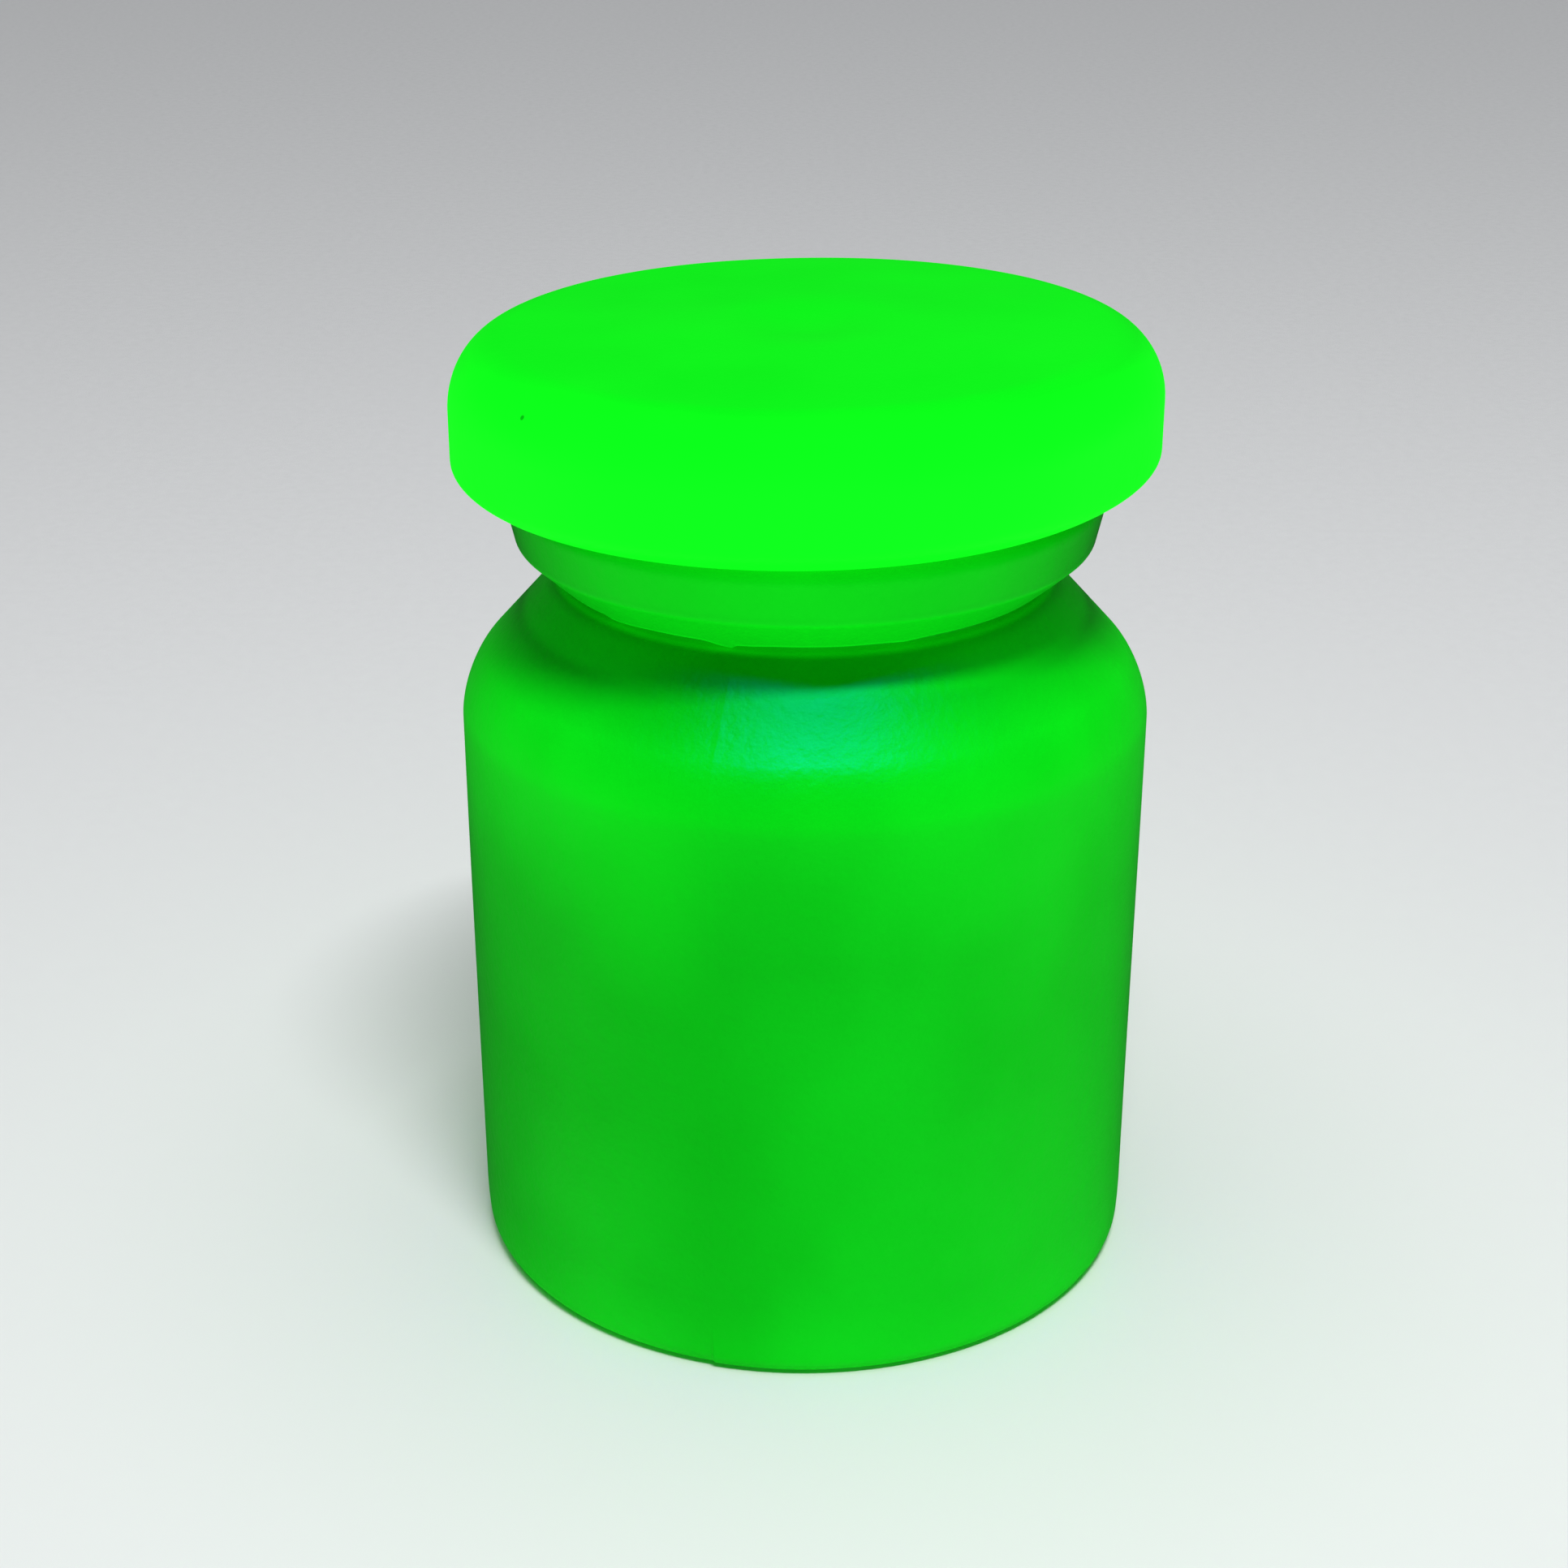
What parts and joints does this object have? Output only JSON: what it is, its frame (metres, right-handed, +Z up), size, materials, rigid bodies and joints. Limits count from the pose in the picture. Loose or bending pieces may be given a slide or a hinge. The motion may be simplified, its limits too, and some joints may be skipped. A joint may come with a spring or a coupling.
{
  "type": "lidded glass jar",
  "caption": "Straight-sided round jar of opal green glass with a sloping shoulder, a flared lip and a lift-out bun-shaped stopper.",
  "frame": {"origin": "centre of the foot ring, on the surface the jar stands on", "axes": "+Z up along the jar's own axis; -Y towards the front; the jar is round, so +X is simply to the right"},
  "size_m": [0.076, 0.076, 0.1073],
  "materials": {
    "jar_glass": "opal, fire-polished, faint orange peel",
    "stopper_glass": "opal, fire-polished, plug ground matt"
  },
  "bodies": {
    "jar": {"jar": "jar_glass"},
    "stopper": {"stopper": "stopper_glass"}
  },
  "joints": [
    {"name": "stopper_lift", "type": "slide", "parent": "jar", "child": "stopper", "axis": [0, 0, 1], "range_m": [0, 0.06]}
  ]
}
